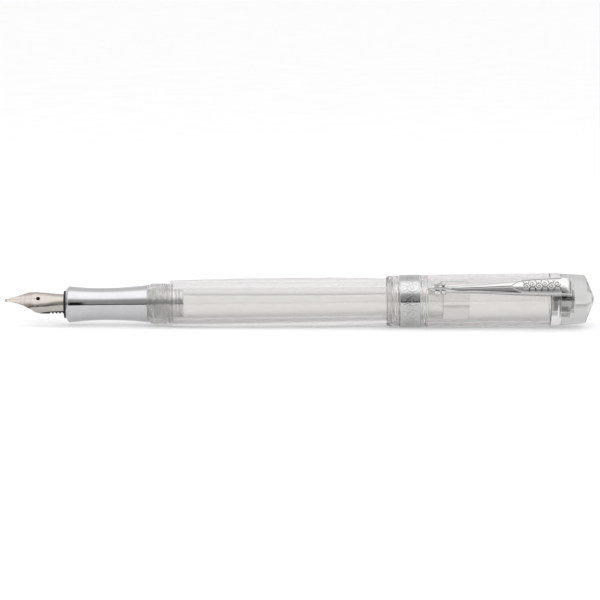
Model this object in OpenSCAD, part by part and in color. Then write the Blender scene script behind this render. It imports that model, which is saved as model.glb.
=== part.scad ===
// Fountain pen with its cap posted on the back of the barrel.
// The pen lies along X: nib towards -X, cap and finial towards +X, +Z up.
// The origin is on the pen's axis, at the middle of the barrel's straight belly.

/* [Barrel] */
// Radius of the barrel's straight belly
belly_r = 6.5; // [6.3:0.05:6.7]
// Half the length of the straight belly
belly_half = 12; // [8:1:14]
// Position of the barrel's front face
barrel_front_x = -36.45; // [-37:0.05:-36]
// Position of the barrel's back end
barrel_end_x = 49.2; // [47:0.2:50]
// Radius of the bore that holds the cartridge, behind its thread
bore_r = 4.15; // [4.1:0.05:4.3]
// Radius that the bore tapers to at its closed end
bore_end_r = 3.75; // [3.7:0.05:4]
// Position of the closed end of the bore
bore_end_x = 42.3; // [38:0.1:43]
// Radius of the barrel where the cap's lip grips it
post_r = 6.05; // [5.9:0.05:6.1]

/* [Threads] */
// Pitch of the thread between the barrel and the section
section_pitch = 0.6; // [0.5:0.05:0.8]
// Pitch of the thread between the barrel and the cap
cap_pitch = 0.65; // [0.6:0.05:0.9]
// Crest radius of the barrel's cap thread
cap_thread_r = 5.6; // [5.5:0.05:5.65]
// Crest radius of the section's thread
tail_thread_r = 4.0; // [3.95:0.05:4.0]
// Depth of every thread
thread_depth = 0.12; // [0.08:0.02:0.16]

/* [Section] */
// Position of the section's front lip
section_front_x = -58.7; // [-60:0.1:-57]
// Radius of the section behind its front chamfer
section_front_r = 4.88; // [4.7:0.02:5]
// Radius of the section's waist
waist_r = 4.3; // [4.2:0.02:4.5]
// Position of the section's waist
waist_x = -48.8; // [-50:0.2:-47]
// Radius of the section where it meets the barrel
section_back_r = 4.98; // [4.8:0.02:5]

/* [Nib] */
// Position of the nib's writing tip
nib_tip_x = -75; // [-76:0.1:-74.8]
// Outer radius of the nib where it enters the section
nib_r = 2.85; // [2.8:0.01:2.87]
// Thickness of the nib's sheet
nib_t = 0.27; // [0.2:0.01:0.3]
// Radius of the breather hole
breather_r = 0.56; // [0.4:0.02:0.7]
// Angle of the nib's middle above the horizontal
nib_turn = 41.5; // [0:0.5:90]

/* [Cap] */
// Position of the cap's lip
lip_x = 27.07; // [26.8:0.01:27.3]
// Largest radius of the cap's tube
cap_r = 7.1; // [7:0.02:7.2]
// Radius of the cap's bore
cap_bore_r = 5.75; // [5.7:0.05:5.8]
// Position of the seam between the cap's tube and the finial
seam_x = 73.6; // [73:0.1:74]
// Position of the front edge of the band
band_x = 30.7; // [30:0.1:31]
// Width of the band
band_w = 5.26; // [4:0.02:6]
// Outer radius of the band
band_r = 7.08; // [7:0.01:7.2]
// Position of the finial's point
finial_tip_x = 82.97; // [82:0.01:84]

/* [Clip] */
// Position of the clip's tip
clip_tip_x = 37.8; // [37:0.1:39]
// Half the width of the clip at its head
clip_half_w = 2.48; // [2.2:0.02:2.6]
// Angle of the clip's middle above the horizontal
clip_turn = 33; // [0:0.5:90]

/* [Hidden] */
$fn = 96;

run = 0.05;             // radial running clearance of parts that turn or slide
fit = 0.02;             // radial gap of parts that are pressed or glued in place
over = 1;               // how far a cutting shape runs past what it cuts
seal_t = 0.4;           // thickness of the seal ring
shell_back_x = barrel_front_x - seal_t;
liner_front_x = section_front_x - 0.5;
liner_r = 3.55;         // outside of the black inner sleeve, without its lip
liner_end_x = -44.5;
housing_r = 3.25;       // outside of the screw-in nib housing
housing_end_x = -46.5;
nipple_r = 1.2;         // pierces the cartridge
nipple_x = -42;
cartridge_room_r = 3.7; // bore of the section's tail
tail_end_x = -27.2;
tail_thread_end_x = -30.3;
cap_thread_x = 28.9;
cap_thread_len = 8.9;
cap_core_r = 5.42;      // crest radius of the thread inside the cap
cap_wall_x = 71;        // inner face of the cap's end wall
nut_r = 3.1;
nut_x = 71.7;
nut_t = 1;
bush_x = 73.2;
bush_r = 3.4;
bush_end_x = 75.3;
foot_t = 0.8;
screw_r = 1.5;
head_r = 2.4;
head_t = 1;
band_seat_r = 6.8;

// ---- shared shapes ----

// Turns a shape drawn along +Z so that it lies along +X
module along_x() { rotate([0, 90, 0]) children(); }

// A turned piece from its [x, radius] points
module lathe(points) {
    along_x() rotate_extrude() polygon([for (p = points) [p[1], p[0]]]);
}

// A round bar or a cutting cylinder from x0 to x1
module bar(r, x0, x1) { translate([x0, 0, 0]) along_x() cylinder(r = r, h = x1 - x0); }

// A ring from x0 to x1
module ring(r_in, r_out, x0, x1) { lathe([[x0, r_in], [x0, r_out], [x1, r_out], [x1, r_in]]); }

// Turns a feature drawn towards +Z to its angle above the horizontal, on the side facing -Y
module turned_to(angle) { rotate([90 - angle, 0, 0]) children(); }

// Points of a row of thread ridges from x0 on, with crests at radius crest and roots at radius root
function thread(x0, count, pitch, crest, root) = [
    for (i = [0 : count - 1]) each [
        [x0 + i * pitch, root],
        [x0 + (i + 0.35) * pitch, crest],
        [x0 + (i + 0.65) * pitch, crest],
        [x0 + (i + 1) * pitch, root]
    ]
];

// Radius of the concave section at position x
front_flare = (section_front_r - waist_r) / pow(waist_x - section_front_x - 1.1, 2);
back_flare = (section_back_r - waist_r) / pow(shell_back_x - waist_x, 2);
function section_r(x) = waist_r + (x < waist_x ? front_flare : back_flare) * pow(x - waist_x, 2);

// Points of a quarter ellipse from angle a0 to a1, centred at [x, r]
function arc(x, r, half_x, half_r, a0, a1, steps = 6) = [
    for (i = [0 : steps]) let (a = a0 + (a1 - a0) * i / steps)
        [x + half_x * cos(a), r + half_r * sin(a)]
];

// Closes an outline given by its half widths along X
function both_sides(half) = concat(
    half, [for (i = [len(half) - 1 : -1 : 0]) [half[i][0], -half[i][1]]]
);

// ---- barrel and section ----

module barrel() {
    neck_r = 5;
    core_r = cap_thread_r - 2 * thread_depth;
    ridges = 7;
    thread_x = barrel_front_x + 0.5;
    shoulder_x = thread_x + ridges * cap_pitch + 0.5;
    step_x = lip_x + 0.35;
    tail_r = cap_core_r - run;
    end_round = 0.8;
    color([0.9, 0.89, 0.88, 0.4])
    difference() {
        lathe(concat(
            [[barrel_front_x, 0], [barrel_front_x, neck_r], [thread_x, core_r - 0.1]],
            thread(thread_x, ridges, cap_pitch, cap_thread_r, core_r),
            [[shoulder_x, core_r], [shoulder_x + 0.2, 6], [shoulder_x + 0.6, 6.1], [-28, 6.2],
             [-22, 6.35], [-16, 6.45], [-belly_half, belly_r], [belly_half, belly_r],
             [16, 6.42], [24, 6.19], [step_x, post_r], [step_x + 0.8, tail_r], [34, tail_r - 0.02]],
            arc(barrel_end_x - end_round, tail_r - 0.12 - end_round, end_round, end_round, 90, 0),
            [[barrel_end_x, 0]]
        ));
        lathe([[tail_thread_end_x, 0], [tail_thread_end_x, bore_r],
               [bore_end_x - 0.3, bore_end_r], [bore_end_x, bore_end_r - 0.3], [bore_end_x, 0]]);
        // the thread that takes the section: its crests stand clear of the section's own
        lathe(concat(
            [[barrel_front_x - over, 0], [barrel_front_x - over, tail_thread_r + run]],
            thread(barrel_front_x + 0.3, 9, section_pitch,
                   tail_thread_r + run + thread_depth, tail_thread_r + run),
            [[tail_thread_end_x + fit, tail_thread_r + run], [tail_thread_end_x + fit, 0]]
        ));
    }
}

module seal_ring() {
    color([0.93, 0.93, 0.92, 0.6])
    ring(tail_thread_r + run, section_back_r, shell_back_x + 0.01, barrel_front_x - 0.01);
}

module section_shell() {
    steps = 14;
    start_x = section_front_x + 1.1;
    color([0.8, 0.81, 0.83])
    lathe(concat(
        [[section_front_x, liner_r + fit], [section_front_x, 3.78],
         [section_front_x + 0.35, 4.35], [section_front_x + 0.75, section_front_r - 0.08]],
        [for (i = [0 : steps]) let (x = start_x + (shell_back_x - start_x) * i / steps)
            [x, section_r(x)]],
        [[shell_back_x, 4], [liner_end_x, 4], [liner_end_x, liner_r + fit]]
    ));
}

module section_tail() {
    groove_x = -33.2;
    core_r = tail_thread_r - thread_depth;
    ring_gap = 0.25;
    color([0.74, 0.74, 0.74])
    lathe(concat(
        [[liner_end_x + fit, cartridge_room_r], [liner_end_x + fit, 4 - fit],
         [shell_back_x, 4 - fit]],
        thread(shell_back_x, 6, section_pitch, tail_thread_r, core_r),
        [[groove_x, core_r], [groove_x + ring_gap, core_r - 0.06]],
        thread(groove_x + ring_gap, 4, section_pitch, tail_thread_r, core_r),
        [[tail_thread_end_x, core_r - 0.06], [tail_thread_end_x + ring_gap, core_r],
         [tail_end_x - 0.2, core_r], [tail_end_x, core_r - 0.08], [tail_end_x, cartridge_room_r]]
    ));
}

module section_liner() {
    color([0.06, 0.06, 0.07])
    lathe([[liner_front_x, housing_r + fit], [liner_front_x + 0.1, 3.68],
           [section_front_x, 3.68], [section_front_x, liner_r], [liner_end_x, liner_r],
           [liner_end_x, housing_r + fit]]);
}

module nib_housing() {
    seat_end_x = -50;       // where the nib and feed stop
    color([0.09, 0.09, 0.1])
    lathe([[section_front_x + 0.2, nib_r + fit], [section_front_x + 0.2, housing_r],
           [housing_end_x, housing_r], [housing_end_x, 2.1], [nipple_x - 3.2, 1.9],
           [nipple_x - 3, nipple_r], [nipple_x - 0.3, nipple_r], [nipple_x, 0.95],
           [nipple_x, 0.6], [seat_end_x + 1, 0.6], [seat_end_x + 1, 1.6], [seat_end_x, 1.6],
           [seat_end_x, nib_r + fit]]);
}

// ---- nib and feed ----

pellet_r = 0.42;
pellet_h = 2.25;            // height of the pellet's middle above the pen's axis
nib_front_x = -74.55;       // where the sheet ends in the back of the pellet
nib_end_x = -50.2;
nib_seat_r = nib_r - nib_t - 0.01;
nib_wrap = 72;              // half the angle that the nib wraps round the feed

// The nib's sheet along its length: position, height of its middle, reach of its flat middle,
// and half width and height of its bend and of its edge
nib_stations = [
    [nib_front_x, 2.61, 0.1, [0.2, 2.6], [0.3, 2.59]],
    [-73.4, 2.64, 0.25, [0.45, 2.62], [0.66, 2.58]],
    [-71.9, 2.68, 0.4, [0.75, 2.63], [1.1, 2.53]],
    [-69.9, 2.8, 0.7, [1.3, 2.67], [1.88, 2.44]],
    [-68.9, 2.9, 0.9, [1.65, 2.66], [2.36, 2.28]],
    [-67.7, 2.98, 1.8, [2.6, 2.33], [2.86, 1.8]],
    [-66.5, 2.98, 2.4, [3.1, 2.25], [3.02, 0.68]],
    [-66, 2.96, 2.3, [3.05, 2.2], [3.02, 0.52]],
    [-64.2, 2.91, 1.9, [2.85, 2.2], [2.94, 0.85]],
    [-61.7, 2.87, 1.4, [2.48, 2.1], [2.77, 0.88]],
    for (x = [-60, nib_end_x]) nib_seat(x)
];

// Station of the nib's round part: a curve that follows a circle of radius nib_r
function nib_seat(x) = let (reach = nib_r * 4 / 3 * tan(nib_wrap / 4)) [
    x, nib_r, reach,
    nib_r * [sin(nib_wrap), cos(nib_wrap)] - reach * [cos(nib_wrap), -sin(nib_wrap)],
    nib_r * [sin(nib_wrap), cos(nib_wrap)]
];

// Point of a station's curve at t, from its middle (0) to its edge (1), inset by the sheet
function nib_point(station, t, inset) = let (
    a = [0, station[1]], b = [station[2], station[1]], c = station[3], d = station[4],
    u = 1 - t,
    p = u * u * u * a + 3 * u * u * t * b + 3 * u * t * t * c + t * t * t * d,
    along = u * u * (b - a) + 2 * u * t * (c - b) + t * t * (d - c),
    inward = [along[1], -along[0]] / norm(along)
) p + inset * inward;

// One station's closed loop: outside of the sheet from side to side, and back along its inside
function nib_loop(station, steps) = [
    for (inset = [0, nib_t]) let (turn = inset == 0 ? 1 : -1)
        for (i = [-steps : steps]) let (
            t = turn * i / steps,
            p = nib_point(station, abs(t), inset)
        ) [station[0], sign(t) * p[0], p[1]]
];

module nib_sheet() {
    steps = 8;
    around = 4 * steps + 2;
    last = len(nib_stations) - 1;
    polyhedron(
        [for (station = nib_stations) each nib_loop(station, steps)],
        [
            [for (i = [0 : around - 1]) i],
            [for (i = [around - 1 : -1 : 0]) last * around + i],
            for (k = [0 : last - 1], i = [0 : around - 1]) let (
                a = k * around + i, b = k * around + (i + 1) % around
            ) each [[a, a + around, b], [b, a + around, b + around]]
        ]
    );
}

module nib() {
    slit = 0.06;
    breather_x = -66;
    color([0.8, 0.77, 0.72])
    turned_to(nib_turn) difference() {
        nib_sheet();
        translate([breather_x, 0, 0]) cylinder(r = breather_r, h = 4);
        translate([-80, -slit / 2, 0]) cube([80 + breather_x, slit, 4]);
    }
}

module nib_tipping() {
    color([0.45, 0.44, 0.43])
    turned_to(nib_turn) difference() {
        translate([nib_tip_x + pellet_r, 0, pellet_h]) sphere(r = pellet_r);
        // the tines end in a notch in the back of the pellet
        translate([nib_front_x - 0.01, -1, nib_stations[0][1] - nib_t - 0.03]) cube([1, 2, 1]);
    }
}

// Takes away what lies outside radius r below the feed's middle, from x0 to x1
module below(r, x0, x1) {
    difference() {
        bar(nib_r + over, x0, x1);
        bar(r, x0 - over, x1 + over);
        translate([x0 - over, -4, 0]) cube([x1 - x0 + 2 * over, 8, 4]);
    }
}

module feed() {
    comb_x = -63;
    comb_r = 2.45;
    comb_core_r = 1.7;
    fin_pitch = 0.955;
    fin_gap = 0.56;
    gaps = 4;
    nose_x = -71.6;
    half_width = [[nose_x, 0.6], [-70.5, 1.1], [-69.5, 1.55], [-68.5, 1.95], [-67.8, 2.15],
                  [-66.5, 2.6], [-65, 3], [nib_end_x, 3]];
    color([0.07, 0.07, 0.08])
    turned_to(nib_turn) intersection() {
        translate([0, 0, -4]) linear_extrude(8) polygon(both_sides(half_width));
        difference() {
            lathe([[nose_x, 0], [nose_x, 2.15], [-70.5, 2.3], [-69, 2.45], [-67, nib_seat_r],
                   [section_front_x, nib_seat_r], [section_front_x + 0.4, nib_r],
                   [nib_end_x, nib_r], [nib_end_x, 0]]);
            // seat of the nib: a step in to nib_seat_r, all round but for a wedge below
            difference() {
                ring(nib_seat_r, nib_r + over, section_front_x, nib_end_x + over);
                rotate([90, 0, 90]) linear_extrude(200, center = true)
                    polygon([[0, 0], [-8, 8 / tan(nib_wrap + 2)], [-8, -8], [8, -8],
                             [8, 8 / tan(nib_wrap + 2)]]);
            }
            // comb of fins below the nib
            below(comb_r, nose_x - over, section_front_x - 0.5);
            for (i = [0 : gaps - 1])
                below(comb_core_r, comb_x + i * fin_pitch, comb_x + i * fin_pitch + fin_gap);
            // ink channel on top
            translate([-72, -0.2, 1.9]) cube([72 + nib_end_x + over, 0.4, over]);
            // the nose is a wedge that lies close under the nib's tines
            rotate([90, 0, 0]) translate([0, 0, -4]) linear_extrude(8)
                polygon([[nose_x - over, -4], [nose_x - over, 2], [nose_x, 2], [-67.8, 0.95],
                         [-66, -0.5], [comb_x - 0.2, -2.4], [comb_x - 0.2, -4]]);
        }
    }
}

// ---- cap ----

module cap_tube() {
    thread_end_x = cap_thread_x + cap_thread_len;
    ridges = 13;
    end_round = 0.4;
    color([0.92, 0.91, 0.9, 0.4])
    difference() {
        lathe(concat(
            [[lip_x, 0], [lip_x, 6.35]],
            arc(lip_x + 1.5, 6.35, 1.5, band_seat_r - 6.35, 170, 90, 4),
            [[band_x + band_w, band_seat_r], [band_x + band_w, 6.88], [37.5, 6.92], [43, 7.03],
             [50, cap_r], [71, cap_r], [seam_x - 0.4, 7], [seam_x, 6.93], [seam_x, 0]]
        ));
        // lip that grips the barrel, thread, and the long bore
        lathe(concat(
            [[lip_x - over, 0], [lip_x - over, post_r + 0.14], [lip_x, post_r + 0.14],
             [lip_x + 0.4, post_r + 0.09], [cap_thread_x - 0.4, post_r + 0.09]],
            thread(cap_thread_x, ridges, cap_pitch, cap_core_r + 2 * thread_depth, cap_core_r),
            [[thread_end_x, cap_core_r], [thread_end_x, cap_bore_r],
             [cap_wall_x - end_round, cap_bore_r]],
            arc(cap_wall_x - end_round, cap_bore_r - end_round, end_round, end_round, 90, 0, 4),
            [[cap_wall_x, 0]]
        ));
        // pocket for the nut, hole for the screw, and seat for the bush
        bar(nut_r + fit, cap_wall_x - over, nut_x + nut_t);
        bar(screw_r + fit, cap_wall_x, seam_x);
        bar(bush_r + fit, bush_x, seam_x + over);
    }
}

module cap_band() {
    bead = 0.35;
    color([0.78, 0.78, 0.8])
    lathe([[band_x, band_seat_r + fit], [band_x, band_r - 0.12], [band_x + 0.12, band_r],
           [band_x + bead, band_r], [band_x + bead + 0.1, band_r - 0.06],
           [band_x + band_w - bead - 0.1, band_r - 0.06], [band_x + band_w - bead, band_r],
           [band_x + band_w - 0.12, band_r], [band_x + band_w, band_r - 0.12],
           [band_x + band_w, band_seat_r + fit]]);
}

// ---- clip and the fasteners that hold it ----

head_x = 76.2;              // back of the clip's bent head
clip_edge = 7.2;            // height of the clip's lower edges, just off the cap
clip_plan = [[clip_tip_x, 0.02], [39, 0.7], [40.6, 0.95], [42.4, 0.9], [43.6, 1.1],
             [46, 1.15], [50, 1.35], [55, 1.65], [60, 1.95], [66, 2.28], [71, clip_half_w],
             [head_x, clip_half_w]];
clip_top = [[clip_tip_x, 7.5], [39.6, 8.1], [42, 8.1], [45.5, 7.75], [50, 7.95], [55, 8.3],
            [60, 8.7], [66, 9.1], [71, 9.2], [74, 9.15], [75, 8.95], [75.8, 8.5],
            [head_x, 7.7], [head_x, 5.95]];
clip_under = [[head_x - 1, 5.95], [head_x - 1, clip_edge], [clip_tip_x, clip_edge]];

module clip() {
    lobe_r = 0.6;
    wall = 0.5;
    hollow_x = 47;
    hollow_end_x = 73.4;
    color([0.82, 0.82, 0.83])
    turned_to(clip_turn) difference() {
        intersection() {
            union() {
                linear_extrude(12) polygon(both_sides(clip_plan));
                // two pairs of round lobes beside the leaf-shaped point
                for (x = [40.6, 42.2], side = [-1, 1])
                    translate([x, side * (1.48 - (x - 40.6) * 0.12), 0])
                        cylinder(r = lobe_r, h = 12);
            }
            rotate([90, 0, 0]) translate([0, 0, -5]) linear_extrude(10)
                polygon(concat(clip_top, clip_under));
        }
        // the sheet is folded down at its sides and hollow below
        intersection() {
            linear_extrude(12) polygon(both_sides(
                [[hollow_x, 0.3], [50, 1.35 - wall], [55, 1.65 - wall], [60, 1.95 - wall],
                 [66, 2.28 - wall], [71, clip_half_w - wall],
                 [hollow_end_x, clip_half_w - wall]]));
            rotate([90, 0, 0]) translate([0, 0, -5]) linear_extrude(10)
                polygon([[hollow_x, clip_edge - over], [hollow_x, 7.3], [50, 7.4], [55, 7.75],
                         [60, 8.15], [66, 8.55], [71, 8.65], [hollow_end_x, 8.6],
                         [hollow_end_x, clip_edge - over]]);
        }
    }
}

module clip_foot() {
    tongue_w = 3;
    color([0.7, 0.7, 0.71])
    turned_to(clip_turn) difference() {
        union() {
            bar(bush_r, bush_end_x, bush_end_x + foot_t);
            translate([bush_end_x, -tongue_w / 2, 0]) cube([foot_t, tongue_w, 5.85]);
        }
        bar(screw_r + fit, bush_end_x - over, bush_end_x + foot_t + over);
    }
}

module clip_bush() {
    groove_x = 74.1;
    groove_w = 0.5;
    color([0.72, 0.72, 0.73])
    lathe([[bush_x, screw_r + fit], [bush_x, bush_r - 0.15], [bush_x + 0.15, bush_r],
           [groove_x, bush_r], [groove_x, bush_r - 0.5], [groove_x + groove_w, bush_r - 0.5],
           [groove_x + groove_w, bush_r], [bush_end_x, bush_r], [bush_end_x, screw_r + fit]]);
}

module clip_nut() {
    slot_w = 0.7;
    slot_t = 0.4;
    color([0.45, 0.45, 0.44])
    difference() {
        ring(screw_r + fit, nut_r, nut_x, nut_x + nut_t);
        for (a = [0, 90]) rotate([a, 0, 0])
            translate([nut_x - over, -slot_w / 2, -nut_r - over])
                cube([over + slot_t, slot_w, 2 * (nut_r + over)]);
    }
}

module clip_screw() {
    head_x0 = bush_end_x + foot_t;
    slot_w = 0.5;
    color([0.75, 0.75, 0.76])
    difference() {
        union() {
            bar(screw_r, nut_x - 0.3, head_x0);
            bar(head_r, head_x0, head_x0 + head_t);
        }
        translate([head_x0 + head_t - 0.45, -slot_w / 2, -3]) cube([over, slot_w, 6]);
    }
}

module finial() {
    side_r = 6.93;
    pocket_x = bush_end_x + foot_t + head_t + 0.2;
    slot_w = 2 * clip_half_w + 0.5;
    color([0.92, 0.91, 0.9, 0.4])
    difference() {
        lathe([[seam_x, 0], [seam_x, side_r], [79.7, 6.56], [80.15, 6.45], [80.5, 6.1],
               [finial_tip_x - 0.55, 1.8], [finial_tip_x - 0.55, 0]]);
        bar(bush_r + fit, seam_x - over, bush_end_x + foot_t + fit);
        lathe([[bush_end_x, 0], [bush_end_x, head_r + 0.2], [pocket_x - 0.2, head_r + 0.2],
               [pocket_x, head_r], [pocket_x, 0]]);
        // slot for the clip's head and foot, open towards the seam
        turned_to(clip_turn) translate([seam_x - over, -slot_w / 2, 2])
            cube([head_x - seam_x + over + 0.15, slot_w, 8]);
        bar(0.8 + fit, finial_tip_x - 2.2, finial_tip_x);
    }
}

module finial_jewel() {
    color([0.6, 0.6, 0.62])
    lathe([[finial_tip_x - 2, 0], [finial_tip_x - 2, 0.8], [finial_tip_x - 0.55, 0.8],
           [finial_tip_x - 0.55, 1.8], [finial_tip_x - 0.1, 0.45], [finial_tip_x, 0]]);
}

barrel();
seal_ring();
section_shell();
section_tail();
section_liner();
nib_housing();
feed();
nib();
nib_tipping();
cap_tube();
cap_band();
clip();
clip_foot();
clip_bush();
clip_nut();
clip_screw();
finial();
finial_jewel();
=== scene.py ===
"""Looks of a clear fountain pen with its cap posted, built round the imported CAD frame.

Lengths in this script are in millimetres and become metres where a mesh is made.
The pen lies along X. Turned pieces are lathed round X from [x, radius] profiles.
"""
import math

import bmesh
import bpy
from mathutils import Matrix, Vector
from mathutils.kdtree import KDTree


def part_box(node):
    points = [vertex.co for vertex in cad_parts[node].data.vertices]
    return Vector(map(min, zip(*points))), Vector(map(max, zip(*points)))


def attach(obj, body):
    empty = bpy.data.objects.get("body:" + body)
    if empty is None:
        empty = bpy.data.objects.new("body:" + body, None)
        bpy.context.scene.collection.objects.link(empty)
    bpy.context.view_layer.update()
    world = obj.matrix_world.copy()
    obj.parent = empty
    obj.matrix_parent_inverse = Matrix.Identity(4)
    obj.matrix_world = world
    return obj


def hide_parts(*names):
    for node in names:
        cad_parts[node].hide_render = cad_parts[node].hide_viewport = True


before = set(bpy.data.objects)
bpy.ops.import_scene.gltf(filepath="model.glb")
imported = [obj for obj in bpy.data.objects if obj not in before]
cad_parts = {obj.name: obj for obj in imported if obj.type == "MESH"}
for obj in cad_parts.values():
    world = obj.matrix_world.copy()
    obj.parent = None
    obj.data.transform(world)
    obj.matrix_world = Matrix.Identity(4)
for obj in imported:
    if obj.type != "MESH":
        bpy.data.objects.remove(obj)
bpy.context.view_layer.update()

MM = 0.001
TAU = 2 * math.pi
AROUND = 192            # columns round a turned piece


# ---------------------------------------------------------------- places from the frame

def ends(node):
    """Front and back of a CAD node along the pen."""
    low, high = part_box(node)
    return low.x / MM, high.x / MM


def radius(node):
    """Largest radius of a turned CAD node."""
    low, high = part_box(node)
    return (high.z - low.z) / 2 / MM


BARREL_FRONT, BARREL_END = ends("barrel")
BELLY_R = radius("barrel")
SHELL_FRONT, SHELL_BACK = ends("section_shell")
SHELL_BACK_R = radius("section_shell")
TAIL_FRONT, TAIL_END = ends("section_tail")
TAIL_R = radius("section_tail")
LINER_FRONT, LINER_END = ends("section_liner")
HOUSING_FRONT, HOUSING_END = ends("nib_housing")
NIB_END = ends("nib")[1]
NIB_TIP = ends("nib_tipping")[0]
LIP, SEAM = ends("cap_tube")
CAP_R = radius("cap_tube")
BAND_FRONT, BAND_BACK = ends("cap_band")
BAND_R = radius("cap_band")
CLIP_TIP, CLIP_HEAD = ends("clip")
BUSH_FRONT, BUSH_BACK = ends("clip_bush")
BUSH_R = radius("clip_bush")
NUT_FRONT, NUT_BACK = ends("clip_nut")
NUT_R = radius("clip_nut")
SCREW_FRONT, SCREW_BACK = ends("clip_screw")
FINIAL_R = radius("finial")
POINT_FRONT, POINT_TIP = ends("finial_jewel")

NIB_TURN = math.radians(41.5)       # the nib's middle above the horizontal, on the -Y side
CLIP_TURN = math.radians(33)        # the clip's middle, in the same way
BELLY_HALF = 12.0                   # half the length of the barrel's straight belly
CAP_PITCH = 0.65
SECTION_PITCH = 0.6
BORE_R = 4.15                       # behind the thread, tapering to BORE_END_R
BORE_END_R = 3.75
BORE_END = 42.3
CAP_BORE_R = 5.75
CAP_THREAD_R = 5.42                 # crests of the thread inside the cap
CAP_WALL = 71.0                     # inner face of the cap's end wall
SCREW_R = 1.52                      # hole for the screw through bush, nut and end wall
RECESS_R = BUSH_R + 0.02            # recess for the bush in the cap's end and the finial
POINT_HEAD = POINT_TIP - 0.55       # where the metal point's pin widens to its head


# ---------------------------------------------------------------- mesh helpers

def linked(name, data):
    """A new object in the scene."""
    item = bpy.data.objects.new(name, data)
    bpy.context.scene.collection.objects.link(item)
    return item


def shaded(piece, weight=50):
    """Makes the large faces at a smooth corner count most in its shading."""
    weighted = piece.modifiers.new("weighted normals", "WEIGHTED_NORMAL")
    weighted.keep_sharp = True
    weighted.weight = weight
    return piece


def quads(a, b):
    """Faces between two closed rings of points."""
    size = len(a)
    return [(a[j], a[(j + 1) % size], b[(j + 1) % size], b[j]) for j in range(size)]


def finish_mesh(name, vertices, faces, sharp=38.0, relief_and_shade=None, weld=False):
    """Makes a smooth-shaded object from points in millimetres. relief_and_shade holds a number for
    each
    point that darkens it: engraving depth, and painted shade at the petals' lower rims. weld joins
    points that lie on each other."""
    mesh = bpy.data.meshes.new(name)
    mesh.from_pydata([[c * MM for c in v] for v in vertices], [], faces)
    if relief_and_shade is not None:
        layer = mesh.attributes.new("relief_and_shade", "FLOAT", "POINT")
        layer.data.foreach_set("value", relief_and_shade)
    work = bmesh.new()
    work.from_mesh(mesh)
    if weld:
        bmesh.ops.remove_doubles(work, verts=work.verts, dist=0.002 * MM)
    bmesh.ops.recalc_face_normals(work, faces=work.faces)
    work.to_mesh(mesh)
    work.free()
    mesh.shade_smooth()
    mesh.set_sharp_from_angle(angle=math.radians(sharp))
    return shaded(linked(name, mesh), 80)


def lathe(name, rows, around=AROUND, loop=True, sharp=38.0):
    """A turned piece. Each row is (x, radius), and radius may be a function of the angle.
    A radius of 0 closes the piece on the axis. loop joins the last row to the first."""
    vertices = []
    rings = []
    for x, r in rows:
        start = len(vertices)
        if not callable(r) and r < 1e-6:
            vertices.append((x, 0, 0))
            rings.append([start])
            continue
        for i in range(around):
            t = TAU * i / around
            reach = r(t) if callable(r) else r
            vertices.append((x, reach * math.cos(t), reach * math.sin(t)))
        rings.append(list(range(start, start + around)))
    pairs = list(zip(rings, rings[1:]))
    if loop:
        pairs.append((rings[-1], rings[0]))
    faces = []
    for a, b in pairs:
        if len(a) == 1 and len(b) == 1:
            continue
        for i in range(around):
            j = (i + 1) % around
            if len(a) == 1:
                faces.append((a[0], b[i], b[j]))
            elif len(b) == 1:
                faces.append((a[i], b[0], a[j]))
            else:
                faces.append((a[i], b[i], b[j], a[j]))
    return finish_mesh(name, vertices, faces, sharp)


def rounded(points, size=0.06, steps=4):
    """Rounds the corners of a profile. A point's third value is its own corner size."""
    out = [tuple(points[0][:2])]
    for before, here, after in zip(points, points[1:], points[2:]):
        own = here[2] if len(here) > 2 else size
        corner = Vector(here[:2])
        back = Vector(before[:2]) - corner
        ahead = Vector(after[:2]) - corner
        reach = min(own, back.length * 0.45, ahead.length * 0.45)
        if reach < 1e-4 or back.angle(ahead) > math.radians(176):
            out.append(tuple(corner))
            continue
        start = corner + back.normalized() * reach
        stop = corner + ahead.normalized() * reach
        for i in range(steps + 1):
            t = i / steps
            p = start * (1 - t) ** 2 + corner * 2 * t * (1 - t) + stop * t ** 2
            out.append(tuple(p))
    out.append(tuple(points[-1][:2]))
    return out


def smooth_curve(points, step):
    """Points on a smooth curve through the given points, any number of values each."""
    out = []
    for i in range(len(points) - 1):
        p1 = Vector(points[i])
        p2 = Vector(points[i + 1])
        p0 = Vector(points[i - 1]) if i else p1 * 2 - p2
        p3 = Vector(points[i + 2]) if i + 2 < len(points) else p2 * 2 - p1
        d1 = max((p1 - p0).length, 1e-6)
        d2 = max((p2 - p1).length, 1e-6)
        d3 = max((p3 - p2).length, 1e-6)
        # slopes weighted by spacing, so uneven stations don't make the curve overshoot
        m1 = ((p1 - p0) / d1 * d2 + (p2 - p1) / d2 * d1) / (d1 + d2) * d2
        m2 = ((p2 - p1) / d2 * d3 + (p3 - p2) / d3 * d2) / (d2 + d3) * d2
        count = max(1, math.ceil(d2 / step))
        for k in range(count):
            t = k / count
            a = 2 * t ** 3 - 3 * t ** 2 + 1
            b = t ** 3 - 2 * t ** 2 + t
            c = -2 * t ** 3 + 3 * t ** 2
            d = t ** 3 - t ** 2
            out.append(tuple(p1 * a + m1 * b + p2 * c + m2 * d))
    out.append(tuple(points[-1]))
    return out


def thread_rows(start, end, pitch, root, crest, taper=0.5, steps=10):
    """Rows of a right-handed screw thread between start and end, run out at both ends."""
    rows = []
    count = math.ceil((end - start) / pitch * steps)
    for i in range(count + 1):
        x = start + (end - start) * i / count
        fade = min(1, (x - start) / taper, (end - x) / taper)

        def reach(t, x=x, fade=fade):
            phase = ((x - start) / pitch - t / TAU) % 1
            ridge = min(1, max(0, 1.5 - abs(phase - 0.5) * 4.6))
            ridge = ridge * ridge * (3 - 2 * ridge)
            return root + (crest - root) * ridge * max(0, fade)

        rows.append((x, reach))
    return rows


def turned_to(piece, angle):
    """Turns a mesh drawn towards +Z to its angle above the horizontal, facing -Y."""
    piece.data.transform(Matrix.Rotation(math.pi / 2 - angle, 4, "X"))
    return piece


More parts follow.
